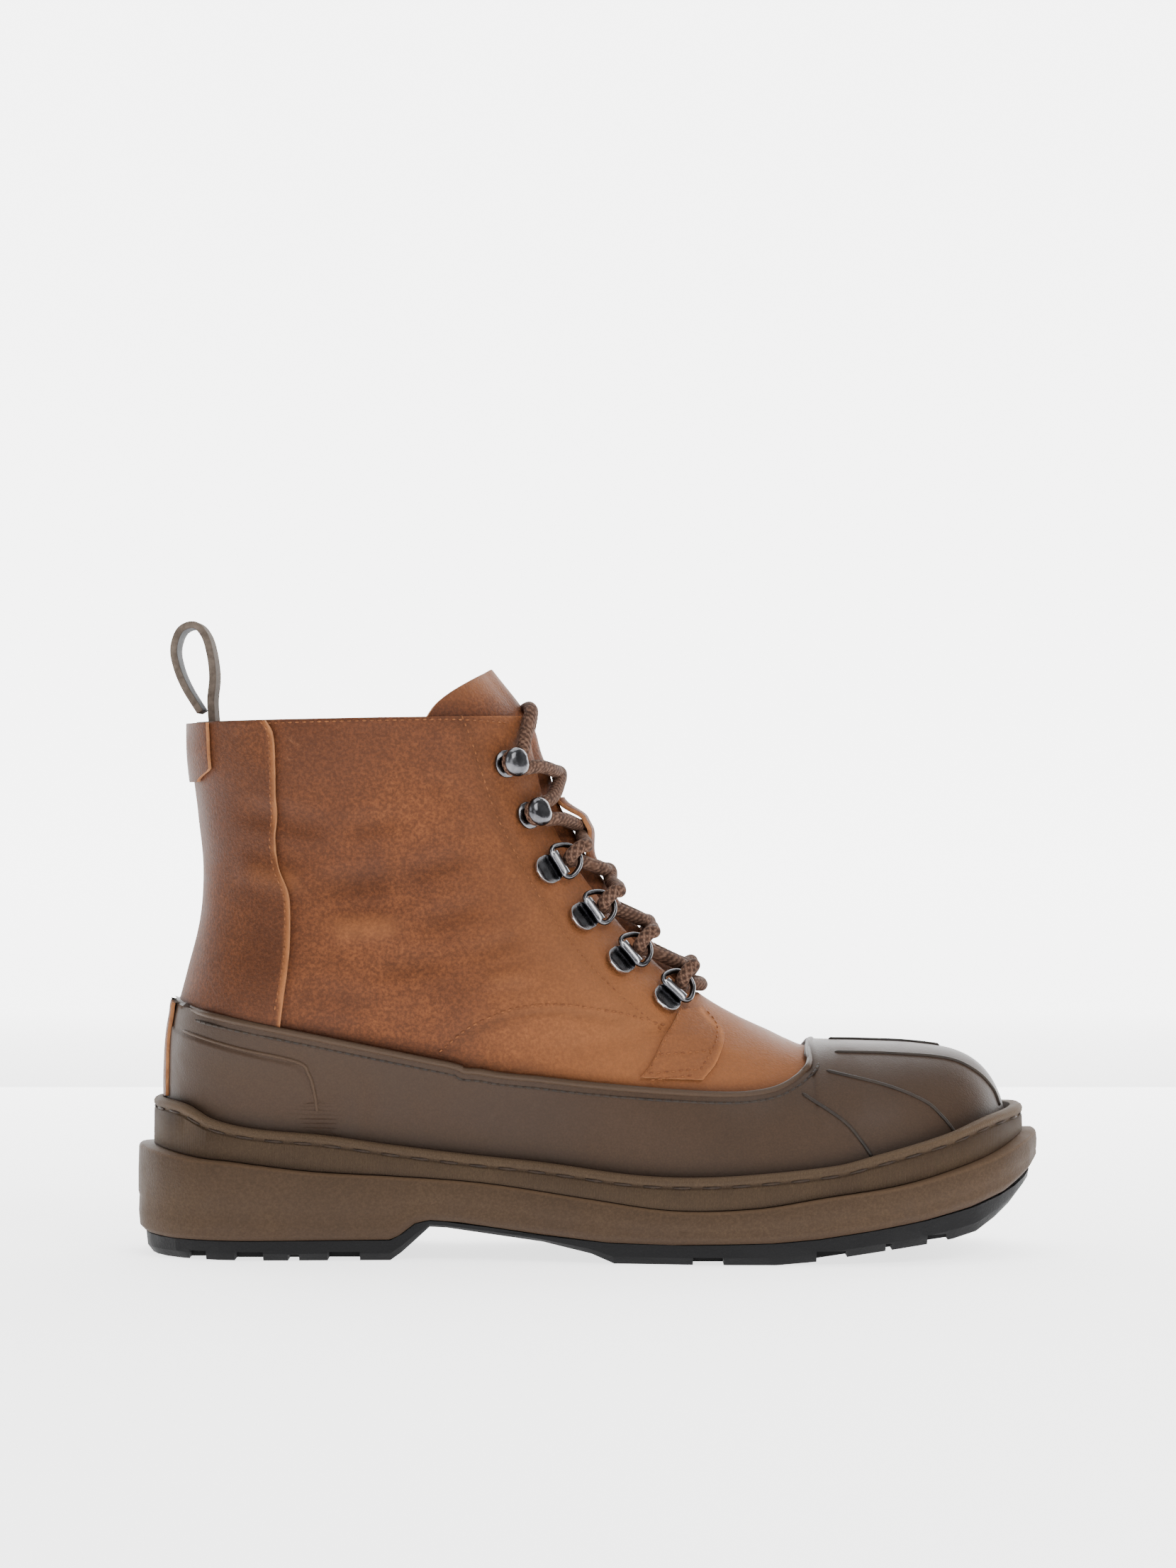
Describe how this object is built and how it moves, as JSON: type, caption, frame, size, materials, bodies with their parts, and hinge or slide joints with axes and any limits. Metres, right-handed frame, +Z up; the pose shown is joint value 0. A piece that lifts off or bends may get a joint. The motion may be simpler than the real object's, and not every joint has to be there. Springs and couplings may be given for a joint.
{
  "type": "duck boot",
  "caption": "Right-foot duck boot: tan leather shaft laced over a dark brown rubber shell, stepped midsole and lugged outsole.",
  "frame": {"origin": "centre of the bounding box's bottom face, on the floor under the boot", "axes": "+X to the toe, +Y to the inner (medial) side, +Z up"},
  "size_m": [0.305, 0.1136, 0.213],
  "materials": {
    "tan_leather": "waxed pull-up, mottled",
    "shell_rubber": "satin, worn",
    "welt_rubber": "matte, ribbed",
    "midsole_rubber": "matte, fine grain",
    "outsole_rubber": "matte",
    "gunmetal": "dark polished",
    "lace_cord": "round braid",
    "loop_webbing": "woven, lined in black",
    "insole_board": "matte"
  },
  "bodies": {
    "root": {"back_panel": "tan_leather", "d_ring_1_inner": "gunmetal", "d_ring_1_outer": "gunmetal", "d_ring_2_inner": "gunmetal", "d_ring_2_outer": "gunmetal", "d_ring_3_inner": "gunmetal", "d_ring_3_outer": "gunmetal", "d_ring_4_inner": "gunmetal", "d_ring_4_outer": "gunmetal", "eyelet_plate_1_inner": "gunmetal", "eyelet_plate_1_outer": "gunmetal", "eyelet_plate_2_inner": "gunmetal", "eyelet_plate_2_outer": "gunmetal", "eyelet_plate_3_inner": "gunmetal", "eyelet_plate_3_outer": "gunmetal", "eyelet_plate_4_inner": "gunmetal", "eyelet_plate_4_outer": "gunmetal", "heel_strip": "tan_leather", "insole": "insole_board", "lace": "lace_cord", "lace_keeper": "tan_leather", "midsole": "midsole_rubber", "outsole": "outsole_rubber", "pull_loop": "loop_webbing", "pull_tab": "tan_leather", "quarter_wing_inner": "tan_leather", "quarter_wing_outer": "tan_leather", "shell": "shell_rubber", "speed_hook_1_inner": "gunmetal", "speed_hook_1_outer": "gunmetal", "speed_hook_2_inner": "gunmetal", "speed_hook_2_outer": "gunmetal", "tongue": "tan_leather", "upper": "tan_leather", "welt": "welt_rubber"}
  },
  "joints": []
}
